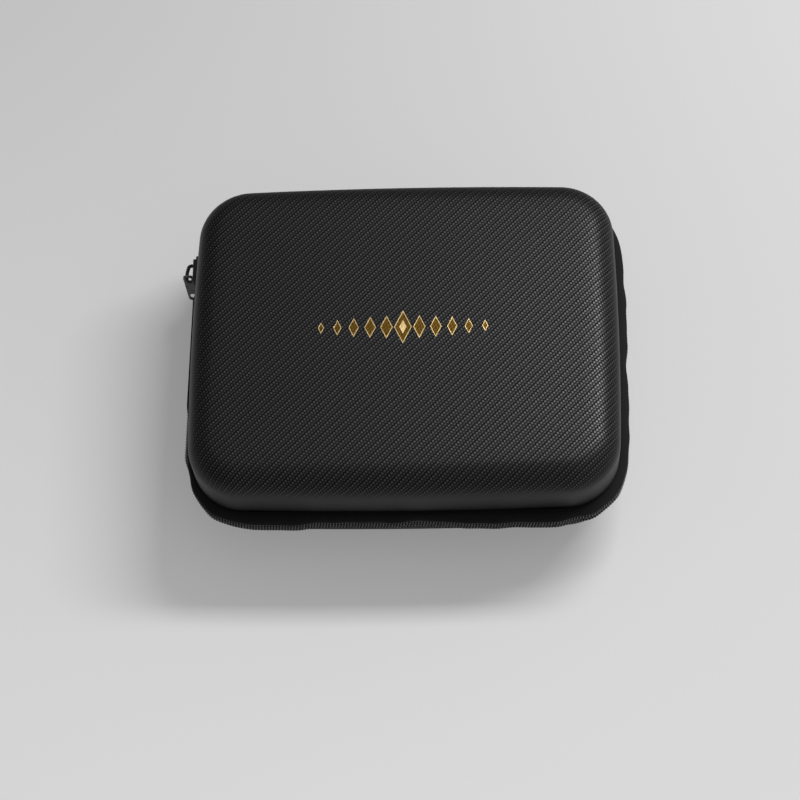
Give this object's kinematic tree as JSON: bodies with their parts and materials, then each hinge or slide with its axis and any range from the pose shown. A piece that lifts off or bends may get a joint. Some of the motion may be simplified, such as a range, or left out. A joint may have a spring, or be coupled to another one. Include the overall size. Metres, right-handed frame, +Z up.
{
  "type": "zippered hard case",
  "caption": "Moulded hard case for an electric shaver: two fabric-covered foam shells on a fabric spine, closed by a coil zip with a hanging pull, with a foam insert and a net pocket inside.",
  "frame": {"origin": "on the ground under the middle of the case, at the centre of the underside", "axes": "+Z up, -Y towards the front where the zip shows, +Y towards the fabric spine, +X to the right, away from the slider"},
  "size_m": [0.2368, 0.186, 0.0671],
  "materials": {
    "outer_fabric": "black coated twill-embossed fabric, matt, smooth over the rounded rim",
    "eva_foam": "dense black EVA foam",
    "lining_fabric": "short black brushed jersey",
    "binding_tape": "black ribbed binding tape",
    "insert_foam": "open-cell black foam",
    "zip_tape": "black woven polyester tape",
    "zip_coil": "black nylon coil",
    "zip_metal": "black enamel on die-cast zinc",
    "tab_metal": "dark grey satin enamel",
    "net_fabric": "black hexagonal net",
    "elastic_band": "black ribbed elastic",
    "gold_foil": "hot-stamped gold foil"
  },
  "bodies": {
    "base": {"base_cover": "outer_fabric", "base_shell": "eva_foam", "base_lining": "lining_fabric", "base_binding": "binding_tape", "insert_tray": "insert_foam", "insert_facing": "lining_fabric", "zip_tape_base": "zip_tape", "zip_coil_base": "zip_coil", "top_stop_base": "zip_metal", "bottom_stop": "zip_metal", "spine_fabric": "zip_tape", "spine_liner": "lining_fabric"},
    "lid": {"lid_cover": "outer_fabric", "lid_shell": "eva_foam", "lid_lining": "lining_fabric", "lid_binding": "binding_tape", "net_panel": "net_fabric", "net_frame": "binding_tape", "net_elastic": "elastic_band", "zip_tape_lid": "zip_tape", "zip_coil_lid": "zip_coil", "top_stop_lid": "zip_metal", "foil_ornament": "gold_foil"},
    "slider": {"slider_body": "zip_metal", "slider_crown": "zip_metal"},
    "tab": {"pull_tab": "tab_metal"}
  },
  "joints": [
    {"name": "lid_hinge", "type": "hinge", "parent": "base", "child": "lid", "pos_m": [0, 0.0909, 0.026], "axis": [-1, 0, 0], "range_deg": [0, 180], "deforming": ["spine_fabric", "spine_liner"]},
    {"name": "slider_travel", "type": "slide", "parent": "base", "child": "slider", "axis": [0, -1, 0], "range_m": [0, 0.1], "deforming": ["zip_coil_base", "zip_coil_lid"]},
    {"name": "tab_swing", "type": "hinge", "parent": "slider", "child": "tab", "pos_m": [-0.11985, 0.0526, 0.026], "axis": [0, 1, 0], "range_deg": [0, 170]}
  ]
}
